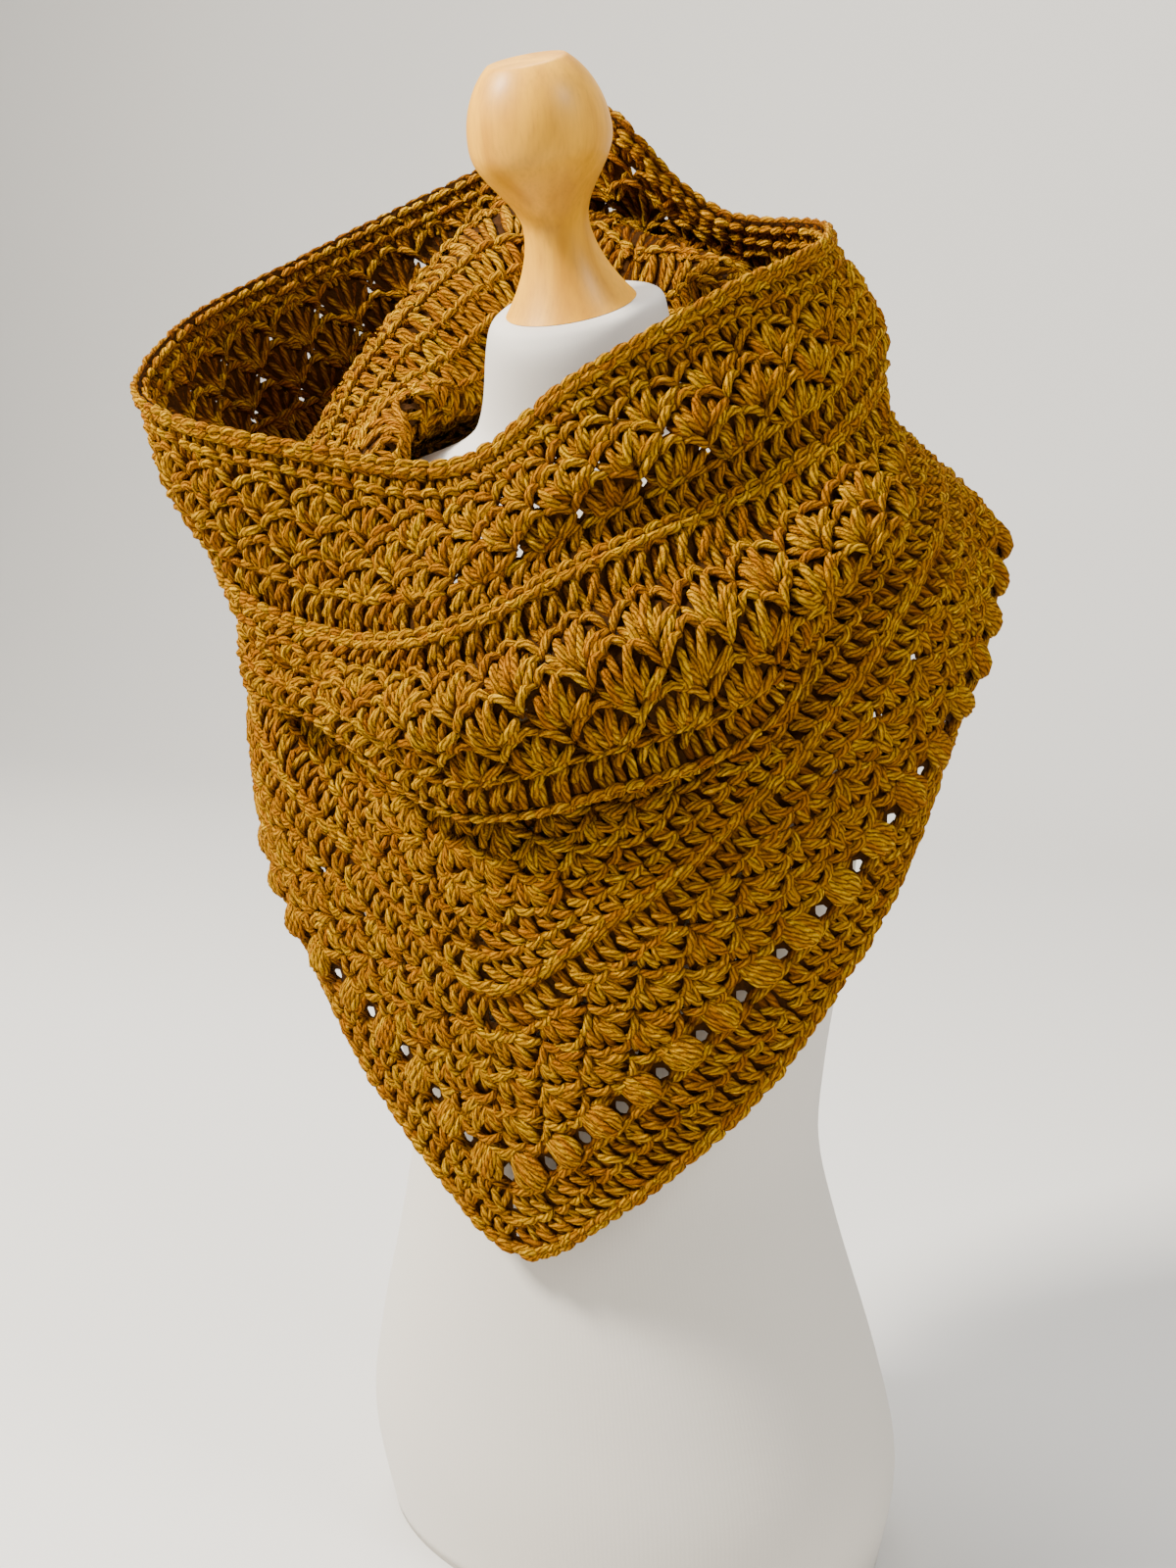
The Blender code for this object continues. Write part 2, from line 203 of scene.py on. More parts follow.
# Each band: where it starts and ends, as a fold line and the distance past it,
# which way it is worked, and its rounds with their shares of its height.
BANDS = (
    ("rim_edging", ("rim", 0), ("rim", EDGING), "up",
     (("link", 0.24), ("low", 0.38), ("low", 0.38))),
    ("hood_lace", ("rim", EDGING), ("ridge2", -RIDGE), "up",
     (("fan", 0.24), ("fan", 0.24), ("fan", 0.24), ("plain", 0.28))),
    ("hood_ridge", ("ridge2", -RIDGE), ("ridge2", RIDGE), "up", (("link", 1.0),)),
    ("drape_lace", ("ridge2", RIDGE), ("ridge1", -RIDGE), "up",
     (("plain", 0.21), ("fan", 0.2), ("fan", 0.2), ("fan", 0.2), ("plain", 0.19))),
    ("drape_ridge", ("ridge1", -RIDGE), ("ridge1", RIDGE), "up", (("link", 1.0),)),
    ("neck_tuck", ("ridge1", RIDGE), ("shoulder", -BODY_RISE), "up",
     (("plain", 0.14), ("plain", 0.14), ("plain", 0.14), ("plain", 0.14),
      ("fan", 0.15), ("fan", 0.15), ("plain", 0.14))),
    ("body_lace", ("shoulder", -BODY_RISE), ("ridge0", -RIDGE), "down",
     (("fan", 0.2), ("fan", 0.2), ("fan", 0.2), ("plain", 0.2), ("plain", 0.2))),
    ("body_ridge", ("ridge0", -RIDGE), ("ridge0", RIDGE), "down", (("cord", 1.0),)),
    ("hem_lace", ("ridge0", RIDGE), ("bobbles", -BOBBLE), "down",
     (("plain", 0.25), ("fan", 0.25), ("fan", 0.25), ("fan", 0.25))),
    ("bobble_round", ("bobbles", -BOBBLE), ("bobbles", BOBBLE), "down", (("bobble", 1.0),)),
    ("hem_border", ("bobbles", BOBBLE), ("hem", 0), "down",
     (("plain", 0.44), ("plain", 0.44), ("link", 0.12))),
)

# Creases, listed one by one: the fold line each runs beside, the distance past it at its
# start and its end, the directions it runs between, its half width, and its depth
# into the cloth, or its height out of it where that is negative.
CREASES = (
    ("ridge2", 14, 18, -60, 80, 9, 4),
    ("ridge2", -15, -18, -14, 94, 12, 13),
    ("drape", -12, -6, -50, 92, 16, -9),
    ("ridge1", -20, -17, -4, 88, 12, 14),
    ("ridge1", -24, -15, -84, 12, 8, 12),
    ("rim", 40, 55, -95, -30, 26, -6),
    ("rim", 58, 46, 10, 98, 20, -8),
    ("ridge2", -22, -30, 130, 200, 16, 5),
    ("rim", 48, 40, 195, 262, 20, 5),
    ("ridge0", -50, 24, -62, -12, 11, 4),
    ("ridge0", 30, -52, 34, 84, 12, 4),
    ("ridge0", -34, 20, 150, 214, 13, 6),
    ("ridge0", 30, -24, 205, 262, 12, 5),
    ("hem", -10, 4, 62, 104, 24, -5),
    ("hem", 0, -8, 100, 142, 20, 5),
    ("hem", -6, 2, 140, 196, 24, -5),
    ("hem", 2, -6, 192, 240, 20, 6),
    ("hem", -8, 0, 238, 292, 24, -5),
)

# ---- Dress form and its cap: the CAD's own sizes, millimetres ----
FORM_STEPS = 96             # points around each section
FORM_ROWS = 5               # rows between two sections
RIBS = 4.0                  # ribs of the jersey between two of those points
COURSES = 3.5               # courses of its knit in each of those rows
SECTIONS = (
    # height, half width, front, back, forward tilt in degrees
    (0, 152, 100, 118, 0),
    (60, 162, 104, 124, 0),
    (120, 152, 100, 115, 0),
    (200, 130, 94, 98, 0),
    (252, 120, 90, 88, 0),
    (300, 124, 96, 88, 0),
    (360, 134, 110, 94, 0),
    (420, 143, 122, 100, 0),
    (470, 146, 116, 104, 0),
    (520, 152, 103, 104, 0),
    (560, 159, 90, 100, 0),
    (585, 161, 77, 92, 0),
    (605, 147, 64, 79, 0),
    (622, 104, 55, 63, 0),
    (636, 66, 51, 54, 3),
    (652, 54, 51, 49, 8),
    (685, 47, 55, 38, 15),
    (697, 44, 53, 35, 17),
    (700, 39, 49, 29, 17),
)
REST = 0.3                  # gap under the cap
NECK_TILT = SECTIONS[-1][4]
NECK_TOP = SECTIONS[-1][0]
NECK_CENTRE = (SECTIONS[-1][3] - SECTIONS[-1][2]) / 2
CAP_STEPS = 72              # points around the cap
CAP_ROWS = 24               # rows along each curved stretch of its outline
CAP_RING = 0.9              # ring that keeps its flat ends flat, as a share of their radius
CAP_EDGE = 50.0             # angle in degrees from which its edges are sharp
FOOT_RADIUS = 33.5
WAIST_RADIUS = 16.5
WAIST_HEIGHT = 40.0
KNOB_RADIUS = 35.3
KNOB_HEIGHT = 82.0
KNOB_CROWN = 43.0           # half the knob's height, were it not cut flat
CAP_HEIGHT = 118.0
FLARE = 1.8                 # how late the foot flares out
GRAIN_STOPS = (0.32, 0.7)   # ends of its grain's range of tones
GRAIN_DRAW = 0.14           # scale of its grain along the wood, to that across it

# ---- Colours, as sRGB hex codes ----
YARN_TONES = ("CC8200", "FFC804")   # range of the strands' own tones
YARN_DRIFT = "A87808"       # what they drift to in broad patches
YARN_DULL = "8C4A00"        # dull lengths of a ply
YARN_FIBRE = "6E3800"       # streaks of fibre
YARN_GROOVE_SHADE = "4E2400"      # painted shade in the grooves between the plies
YARN_SHADE = "5E3000"       # painted shade on strands deep between the stitches
YARN_SHEEN = "E8B84A"
# the ground between the stitches: painted shade, dark tones on the yarn behind them
GROUND_SHADE_TONES = ("1A0C00", "442604")
JERSEY = "D4CEC4"
JERSEY_CROWN_HIGHLIGHTS = ("E6E1D8", "F1EEE8")     # crowns of its ribs, lighter as a painted highlight
WOOD_TONES = ("D08E00", "FCB81C")
WOOD_FLECK = "9A6230"
PAPER_TONES = ("D9D7D3", "DEDCD8")
WARM_WHITE = "FFF9EE"
WHITE = "FFFFFF"
SKY = "F2F3F5"

# ---- Floor and lights: metres and watts ----
FLOOR_HALF = 7.0            # half the floor's width
FLOOR_FRONT = -5.0
FLOOR_BACK = 1.4            # where it starts to sweep up
FLOOR_BEND = 0.8            # radius of the sweep
FLOOR_TOP = 4.0
FLOOR_ROWS = 16             # rows up the bend
LIT_POINT = (0.0, 0.0, 0.5)
LIGHTS = (
    # name, place, width, power, colour
    ("key", (-1.3, -1.1, 2.3), 0.5, 206, WARM_WHITE),
    ("side", (1.5, -0.3, 1.8), 0.5, 26, WHITE),
    ("top", (-0.4, 0.4, 2.3), 0.8, 30, WHITE),
)
SKY_STRENGTH = 0.34

# ---- Camera: degrees, metres, and millimetres of film ----
AZIMUTH = 29.0              # from the front toward the wearer's left
ELEVATION = 14.0
ROLL = 2.3                  # how far it leans about its line of sight
DISTANCE = 1.0072
SIGHT_HEIGHT = 0.4492       # height of the point looked at
SIGHT_SHIFT = -0.0060       # how far that point lies to the camera's right
FILM = 24.0
LENS = 28.5

rng = np.random.default_rng(7)


# ---- The cloth's surface ----

def between(start, end, leaving, arriving, t):
    """Cubic curve from start to end at t from 0 to 1, with its slopes at both ends."""
    bend = 3 * (end - start) - 2 * leaving - arriving
    twist = leaving + arriving - 2 * (end - start)
    return start + leaving * t + bend * t * t + twist * t ** 3


def around(row, angles):
    """Values of a fold line's row at angles in degrees, smooth and closed."""
    angles = angles % 360
    stops, values, count = np.array(DIRECTIONS), np.array(row, float), len(DIRECTIONS)
    first = np.searchsorted(stops, angles, side="right") - 2
    at = [stops[(first + k) % count] + 360 * ((first + k) // count) for k in range(4)]
    v = [values[(first + k) % count] for k in range(4)]
    span = at[2] - at[1]
    leaving = (v[2] - v[0]) / (at[2] - at[0]) * span
    arriving = (v[3] - v[1]) / (at[3] - at[1]) * span
    return between(v[1], v[2], leaving, arriving, (angles - at[1]) / span)


def unit(vectors):
    """The vectors at length 1, along their last axis."""
    return vectors / np.maximum(np.linalg.norm(vectors, axis=-1, keepdims=True), 1e-9)


def closed_gradient(grid):
    """Difference from each direction to the next, on a grid that closes on itself."""
    return np.roll(grid, -1, axis=0) - np.roll(grid, 1, axis=0)


class Cloth:
    """The middle surface of the scarf: points and facings by direction and depth."""

    def __init__(self):
        angles = np.arange(ANGLES) * 360 / ANGLES
        knots = np.array([(around(REACH[f], angles), around(HEIGHT[f], angles)) for f in FOLDS])
        knots = knots.transpose(2, 0, 1)
        runs = np.diff(knots, axis=1)
        ways = unit(runs)
        ways = np.concatenate([ways[:, :1], unit(ways[:, :-1] + ways[:, 1:]), ways[:, -1:]], axis=1)
        pulls = np.linalg.norm(runs, axis=2, keepdims=True) * ROUNDING
        line = [knots[:, 0] - ways[:, 0] * SELVEDGE, knots[:, 0]]
        for i in range(len(FOLDS) - 1):
            leaving, arriving = ways[:, i] * pulls[:, i], ways[:, i + 1] * pulls[:, i]
            for step in range(1, FINE + 1):
                line.append(between(knots[:, i], knots[:, i + 1], leaving, arriving, step / FINE))
        line.append(knots[:, -1] + ways[:, -1] * SELVEDGE)
        line = np.array(line).transpose(1, 0, 2)
        steps = np.linalg.norm(np.diff(line, axis=1), axis=2)
        lengths = np.concatenate([np.zeros((ANGLES, 1)), np.cumsum(steps, axis=1)], axis=1) - SELVEDGE
        self.folds = {f: lengths[:, 1 + i * FINE] for i, f in enumerate(FOLDS)}
        self.step = (lengths[:, -1] + SELVEDGE) / (DEPTHS - 1)
        self.depths = np.arange(DEPTHS) * self.step[:, None] - SELVEDGE
        flat = np.array([
            [np.interp(depths, known, run[:, axis]) for axis in (0, 1)]
            for depths, known, run in zip(self.depths, lengths, line)
        ])
        turn = np.radians(angles)[:, None]
        self.points = np.stack(
            [flat[:, 0] * np.sin(turn), -flat[:, 0] * np.cos(turn), flat[:, 1]], axis=-1
        )
        self.face_out()
        self.points += self.facings * self.creases()[..., None]
        self.face_out()

    def face_out(self):
        """Works out which way every point of the surface faces."""
        down = np.gradient(self.points, axis=1)
        self.facings = unit(np.cross(down, closed_gradient(self.points)))

    def creases(self):
        """How far the creases lift or sink every point of the surface."""
        angles = np.arange(ANGLES)[:, None] * 360 / ANGLES
        lift = np.zeros((ANGLES, DEPTHS))
        for fold, start_past, end_past, start, end, width, depth in CREASES:
            share = ((angles - start) % 360) / (end - start)
            window = np.where(share < 1, np.sin(np.pi * np.minimum(share, 1)) ** 2, 0)
            past = start_past + (end_past - start_past) * np.minimum(share, 1)
            line = self.folds[fold][:, None] + past
            lift -= depth * window * np.exp(-((self.depths - line) / width) ** 2)
        return lift

    def at(self, steps, depths, lift):
        """Points and facings at fractional direction steps and depths, lifted off the cloth."""
        here = np.floor(steps).astype(int)
        share = (steps - here)[..., None]
        found, faced = 0, 0
        for index, weight in ((here % ANGLES, 1 - share), ((here + 1) % ANGLES, share)):
            row = np.clip((depths + SELVEDGE) / self.step[index], 0, LAST_ROW)
            low = row.astype(int)
            part = (row - low)[..., None]
            above, below = (index, low), (index, low + 1)
            found = found + weight * (self.points[above] * (1 - part) + self.points[below] * part)
            faced = faced + weight * (self.facings[above] * (1 - part) + self.facings[below] * part)
        faced = unit(faced)
        return found + faced * np.asarray(lift)[..., None], faced


cloth = Cloth()


class Round:
    """One round of the crochet, with places along it in millimetres from the centre front."""

    def __init__(self, start, end, worked):
        self.start, self.end, self.worked = start, end, worked
        steps = np.arange(ANGLES)
        flat = np.zeros(ANGLES)
        middle = cloth.at(steps, (start + end) / 2, flat)[0]
        rise = cloth.at(steps, end, flat)[0] - cloth.at(steps, start, flat)[0]
        aside = unit(closed_gradient(middle))
        lean = (rise * aside).sum(axis=1)
        runs = np.linalg.norm(np.roll(middle, -1, axis=0) - middle, axis=1)
        self.steps = np.arange(ANGLES + 1)
        self.arcs = np.concatenate([[0], np.cumsum(runs)])
        self.leans = np.append(lean, lean[0])
        self.length = self.arcs[-1]

    def lean(self, arcs):
        """How far the cloth's own lines drift along the round over its height."""
        return np.interp(arcs % self.length, self.arcs, self.leans)

    def step_at(self, arcs, share):
        """Direction step of places along the round, square across it at a share of its height."""
        arcs = (arcs - (share - 0.5) * self.lean(arcs)) % self.length
        return np.interp(arcs, self.arcs, self.steps)

    def arc_at(self, steps, share):
        """Place along the round that lies at a direction step at a share of its height."""
        arcs = np.interp(steps, self.steps, self.arcs)
        return arcs + (share - 0.5) * self.lean(arcs)

    def at(self, arcs, height, lift):
        """Points and facings of places along the round and up its stitches."""
        share = height if self.worked == "down" else 1 - height
        steps = self.step_at(arcs, share)
        starts = np.interp(steps, self.steps, np.append(self.start, self.start[0]))
        ends = np.interp(steps, self.steps, np.append(self.end, self.end[0]))
        return cloth.at(steps, starts + share * (ends - starts), lift)


# ---- Stitches ----

def strand_line(points, rings):
    """Points evenly along a smooth curve through a strand's points."""
    points = np.array(points)
    points = np.concatenate([2 * points[:1] - points[1:2], points, 2 * points[-1:] - points[-2:-1]])
    t = np.linspace(0, len(points) - 3, rings)
    i = np.minimum(t.astype(int), len(points) - 4)
    leaving = (points[i + 2] - points[i]) / 2
    arriving = (points[i + 3] - points[i + 1]) / 2
    return between(points[i + 1], points[i + 2], leaving, arriving, (t - i)[:, None])


def fan_stitches():
    """Three tall stitches that spread from one root like a scale, and the loops along their tops."""
    strands = []
    for side in (-1, 0, 1):
        root = Vector((side * FAN_FOOT, -FAN_ROOT * FAN_HEIGHT))
        top = Vector((side * FAN_SPREAD, (FAN_SHOULDER if side else FAN_ARCH) * FAN_HEIGHT))
        way = top - root
        across = Vector((way.y, -way.x)).normalized()
        for rings, points in RAY:
            spread = []
            for x, y, n in points:
                place = root + way * y + across * x
                bulge = FAN_BULGE * math.sin(math.pi * min(max(y, 0), 1))
                spread.append((place.x, place.y / FAN_HEIGHT, n + bulge))
            strands.append((rings, tuple(spread)))
        for rings, points in EDGE:
            loop = []
            for x, y, n in points:
                x += side * FAN_WIDTH / 3
                fall = (FAN_ARCH - FAN_VALLEY) * abs(2 * x / FAN_WIDTH) ** FAN_CURVE
                loop.append((x, y + FAN_ARCH - fall, n))
            strands.append((rings, tuple(loop)))
    return tuple(strands)


def bobble_stitches():
    """Strands gathered at the top, blown out below and curled under in a lip, and the chains."""
    strands = []
    for side in (-2.5, -1.5, -0.5, 0.5, 1.5, 2.5):
        drop = side * side
        # Millimetres along the round, share of its height, and millimetres out of the cloth.
        profile = (
            (1.6 * side, -0.12, 0.8),
            (2.4 * side, 0.10, 3.2 - 0.2 * drop),
            (2.8 * side, 0.36, 5.8 - 0.5 * drop),
            (3.0 * side, 0.64, 7.6 - 0.6 * drop),
            (2.6 * side, 0.88 - 0.02 * drop, 6.8 - 0.5 * drop),
            (2.0 * side, 0.94 - 0.03 * drop, 3.8 - 0.3 * drop),
            (1.4 * side, 0.82, 1.4),
        )
        strands.append((BOBBLE_RINGS, tuple((x + BOBBLE_LEAN * y, y, n) for x, y, n in profile)))
    for out, up in CHAINS:
        strands.append((CHAIN_RINGS, tuple((x, up + y, out + n) for x, y, n in CHAIN)))
    return tuple(strands)


STITCHES["fan"] = fan_stitches()
STITCHES["bobble"] = bobble_stitches()


def neighbours(places, length):
    """Places of the stitches behind and ahead of each one on a closed round."""
    behind = np.append(places[-1] - length, places[:-1])
    ahead = np.append(places[1:], places[0] + length)
    return behind, ahead


def gaps_after(places, length):
    """Middle of the gap after each stitch of a closed round."""
    return places + np.diff(np.append(places, places[0] + length)) / 2


def even_places(length, width, corner):
    """Centres of stitches evenly along a round, with a gap at the centre front if corner is set."""
    room = length - 2 * corner
    count = max(1, round(room / width))
    return corner + (np.arange(count) + 0.5) * room / count


def fans_on(before, centres, after):
    """Fans of the next round: one in each gap of the last, and if it is worked down two at
    the centre front."""
    down = after.worked == "down"
    steps = before.step_at(gaps_after(centres, before.length), 1.0 if down else 0.0)
    arcs = np.sort(after.arc_at(steps, 0.0 if down else 1.0) % after.length)
    if down:
        front = np.argmin(np.minimum(arcs, after.length - arcs))
        arcs = np.delete(arcs, front)
        first, last = arcs[0], arcs[-1] - after.length
        arcs = np.sort(np.concatenate([arcs, [first / 3, last / 3 + after.length]]))
    for _ in range(EVEN_PASSES):
        behind, ahead = neighbours(arcs, after.length)
        arcs = arcs + EVEN_OUT * ((ahead + behind) / 2 - arcs)
    return arcs


def pitches(centres, length):
    """Room that each stitch has along its round."""
    behind, ahead = neighbours(centres, length)
    return (ahead - behind) / 2


def gathered(arcs, heights, length):
    """Places along a round with those near the centre front drawn to it at their feet."""
    offset = (arcs + length / 2) % length - length / 2
    pull = np.clip(GATHER_TO - heights, 0, GATHER_TO) * np.exp(-(offset / GATHER) ** 2)
    return arcs - pull * offset


def lay_round(stitch_round, kind, centres, rooms):
    """Every strand of a round's stitches: centre line, facings, lift off the cloth and tone."""
    count = len(centres)
    stretch = rooms / WIDTHS[kind]
    flatter = FLATTER if stitch_round.worked == "down" else 1
    slip, rise, lift = rng.normal(0, STITCH_SPREAD, (count, 3)).T
    lean = rng.normal(0, LEAN_SPREAD, count)
    laid = []
    for rings, points in STITCHES[kind]:
        x, y, n = strand_line(points, rings).T
        wave = np.sin(2 * np.pi * (np.linspace(0, 1, rings) + rng.uniform(0, 1, (count, 1))))
        x = x + rng.normal(0, STRAND_SPREAD, (count, 1)) + WAVER * wave
        n = (n + WAVER_OUT * np.roll(wave, 1, axis=0)) * flatter
        arcs = centres[:, None] + stretch[:, None] * x + slip[:, None] + lean[:, None] * (y - 0.5)
        if stitch_round.worked == "down" and kind in ("plain", "fan"):
            arcs = gathered(arcs, y, stitch_round.length)
        height = np.broadcast_to(y, arcs.shape) + rise[:, None]
        out = n + lift[:, None]
        laid.append(stitch_round.at(arcs, height, out) + (out, rng.uniform(0, 1, count)))
    return laid


def spin(laid, level):
    """Round strands on their centre lines: points, faces, strand coordinates, tones and
    shares out of the painted shade, which are 0 at the ground's level, where shade is painted, and 1
    well clear of it."""
    parts = []
    offset = 0
    turns = np.arange(SIDES) * 2 * np.pi / SIDES
    for centres, facings, lifts, tone in laid:
        count, rings = centres.shape[:2]
        along = unit(np.gradient(centres, axis=1))
        out = unit(facings - (facings * along).sum(axis=-1, keepdims=True) * along)
        side = np.cross(along, out)
        radius = np.full(rings, YARN / 2)
        radius[[0, -1]] *= TIP
        spokes = np.cos(turns)[:, None] * out[:, :, None] + np.sin(turns)[:, None] * side[:, :, None]
        points = centres[:, :, None] + spokes * radius[:, None, None]
        runs = np.linalg.norm(np.diff(centres, axis=1), axis=2)
        length = np.concatenate([np.zeros((count, 1)), np.cumsum(runs, axis=1)], axis=1) / LAY
        lays = rng.uniform(1 - LAY_SPREAD, 1 + LAY_SPREAD, (count, 1))
        length = length * lays + rng.uniform(0, 1, (count, 1))
        stand = lifts[:, :, None] + (spokes * facings[:, :, None]).sum(axis=-1) * radius[:, None]
        # painted shade: a strand is darkened the closer it lies to the ground's level, from either side
        clear = np.where(stand > level, stand - level, (level - stand) / BACK_SHADE)
        out_of_shade = np.clip((clear - SHADE_FROM) / (SHADE_TO - SHADE_FROM), 0, 1)
        i, j, k = np.meshgrid(np.arange(count), np.arange(rings - 1), np.arange(SIDES), indexing="ij")
        after = (k + 1) % SIDES
        corners = [(i * rings + j + a) * SIDES + b for a, b in ((0, k), (0, after), (1, after), (1, k))]
        u = np.stack([length[i, j + a] for a in (0, 0, 1, 1)], axis=-1)
        v = np.stack([(k + b) / SIDES for b in (0, 1, 1, 0)], axis=-1)
        parts.append((
            points.reshape(-1, 3),
            np.stack(corners, axis=-1).reshape(-1, 4) + offset,
            np.stack([u, v], axis=-1).reshape(-1, 2),
            np.repeat(tone, rings * SIDES),
            out_of_shade.reshape(-1),
        ))
        offset += count * rings * SIDES
    return [np.concatenate(part) for part in zip(*parts)]


# ---- The ground behind the stitches ----

def ground_round(stitch_round, kind, centres, corner, level):
    """Points and quads of thin cloth behind a round, with its lace holes left out."""
    length = stitch_round.length
    columns, rows, open_columns, open_rows = GROUNDS[kind]
    if open_columns:
        gaps = gaps_after(centres, length)
        rooms = np.diff(np.append(gaps, gaps[0] + length)) / columns
        arcs = (gaps[:, None] + rooms[:, None] * np.arange(columns)).reshape(-1)
    else:
        count = columns * round(length / WIDTHS[kind])
        arcs = np.arange(count) * length / count
    total = len(arcs)
    places = np.repeat(arcs[:, None], rows + 1, axis=1)
    heights = np.repeat(np.linspace(0, 1, rows + 1)[None], total, axis=0)
    if open_columns:
        for column, way in ((open_columns[0], 1), ((open_columns[-1] + 1) % columns, -1)):
            for row, rise in ((open_rows[0], 1), (open_rows[-1] + 1, -1)):
                places[column::columns, row] += way * ROUND_OFF * rooms
                heights[column::columns, row] += rise * ROUND_OFF / rows
    grid = stitch_round.at(places, heights, np.full(places.shape, level))[0]
    faces = []
    for i in range(total):
        for j in range(rows):
            if i % columns in open_columns and j in open_rows:
                continue
            middle = (arcs[i] + 0.5 * (arcs[(i + 1) % total] - arcs[i]) % length) % length
            if corner and j == rows // 2 and min(middle, length - middle) < corner:
                continue
            here, there = i * (rows + 1) + j, (i + 1) % total * (rows + 1) + j
            faces.append((here, there, there + 1, here + 1))
    return grid.reshape(-1, 3), np.array(faces)


# ---- Meshes ----

def add_mesh(name, points, faces, coat, uvs=None, shares=None):
    """A smooth piece from points in millimetres, with its coordinates and its points' shares."""
    mesh = bpy.data.meshes.new(name)
    size = faces.shape[1]
    mesh.vertices.add(len(points))
    mesh.vertices.foreach_set("co", (points * MM).astype(np.float32).reshape(-1))
    mesh.loops.add(faces.size)
    mesh.loops.foreach_set("vertex_index", faces.astype(np.int32).reshape(-1))
    mesh.polygons.add(len(faces))
    mesh.polygons.foreach_set("loop_start", np.arange(0, faces.size, size, dtype=np.int32))
    mesh.update(calc_edges=True)
    mesh.shade_smooth()
    if uvs is not None:
        mesh.uv_layers.new(name="strand").data.foreach_set("uv", uvs.astype(np.float32).reshape(-1))
    for label, values in (shares or {}).items():
        mesh.attributes.new(label, "FLOAT", "POINT").data.foreach_set("value", values.astype(np.float32))
    mesh.materials.append(coat)
    made = bpy.data.objects.new(name, mesh)
    bpy.context.scene.collection.objects.link(made)
    return made


# ---- Materials ----

def linear(code):
    """Linear colour of an sRGB hex code."""
    parts = [int(code[i:i + 2], 16) / 255 for i in (0, 2, 4)]
    return [c / 12.92 if c <= 0.04045 else ((c + 0.055) / 1.055) ** 2.4 for c in parts] + [1.0]


def add_node(tree, kind, inputs=None, **settings):
    """A node with its settings, its inputs set to values or linked to other outputs."""
    made = tree.nodes.new(kind)
    for name, value in settings.items():
        setattr(made, name, value)
    for name, value in (inputs or {}).items():
        if isinstance(value, bpy.types.NodeSocket):
            tree.links.new(value, made.inputs[name])
        else:
            made.inputs[name].default_value = value
    return made


def new_material(name, **uniform):
    """A material with its Principled shader's uniform numbers and colours set."""
    made = bpy.data.materials.new(name)
    made.use_nodes = True
    shader = made.node_tree.nodes["Principled BSDF"]
    for label, value in uniform.items():
        shader.inputs[label.replace("_", " ")].default_value = value
    return made, made.node_tree, shader


def mix(tree, factor, first, second):
    """Output of two colours mixed by a factor."""
    inputs = {0: factor, 6: first, 7: second}
    return add_node(tree, "ShaderNodeMix", inputs, data_type="RGBA").outputs[2]


def maths(tree, operation, *values):
    """Output of one sum on numbers or outputs."""
    made = add_node(tree, "ShaderNodeMath", dict(enumerate(values)), operation=operation)
    return made.outputs[0]


def own_place(tree):
    """Output of places on the piece, in metres."""
    return add_node(tree, "ShaderNodeTexCoord").outputs["Object"]


def laid_place(tree):
    """Outputs of the two coordinates laid over the piece."""
    laid = add_node(tree, "ShaderNodeUVMap", uv_map="strand")
    return add_node(tree, "ShaderNodeSeparateXYZ", {0: laid.outputs[0]}).outputs[:2]


def noise(tree, place, scale, detail, distortion=0.0):
    """Output of soft noise at a place."""
    inputs = {"Vector": place, "Scale": scale, "Detail": detail, "Distortion": distortion}
    return add_node(tree, "ShaderNodeTexNoise", inputs).outputs[0]


def tones(tree, factor, codes):
    """Output of the range between two hex codes by a factor."""
    return mix(tree, factor, linear(codes[0]), linear(codes[1]))


def finish_shader(tree, shader, base, height, strength, distance):
    """Gives a shader its colour and its bump."""
    tree.links.new(base, shader.inputs["Base Color"])
    inputs = {"Strength": strength, "Distance": distance, "Height": height}
    bump = add_node(tree, "ShaderNodeBump", inputs)
    tree.links.new(bump.outputs[0], shader.inputs["Normal"])


def ply_patches(tree, across, along, apart):
    """Output of patches, from 0 to 1, drawn out along a ply."""
    spot = add_node(tree, "ShaderNodeCombineXYZ", {"X": across, "Y": along, "Z": apart})
    cloud = noise(tree, spot.outputs[0], scale=1.0, detail=1.0)
    limits = {"Value": cloud, "From Min": 0.36, "From Max": 0.64}
    return add_node(tree, "ShaderNodeMapRange", limits).outputs[0]


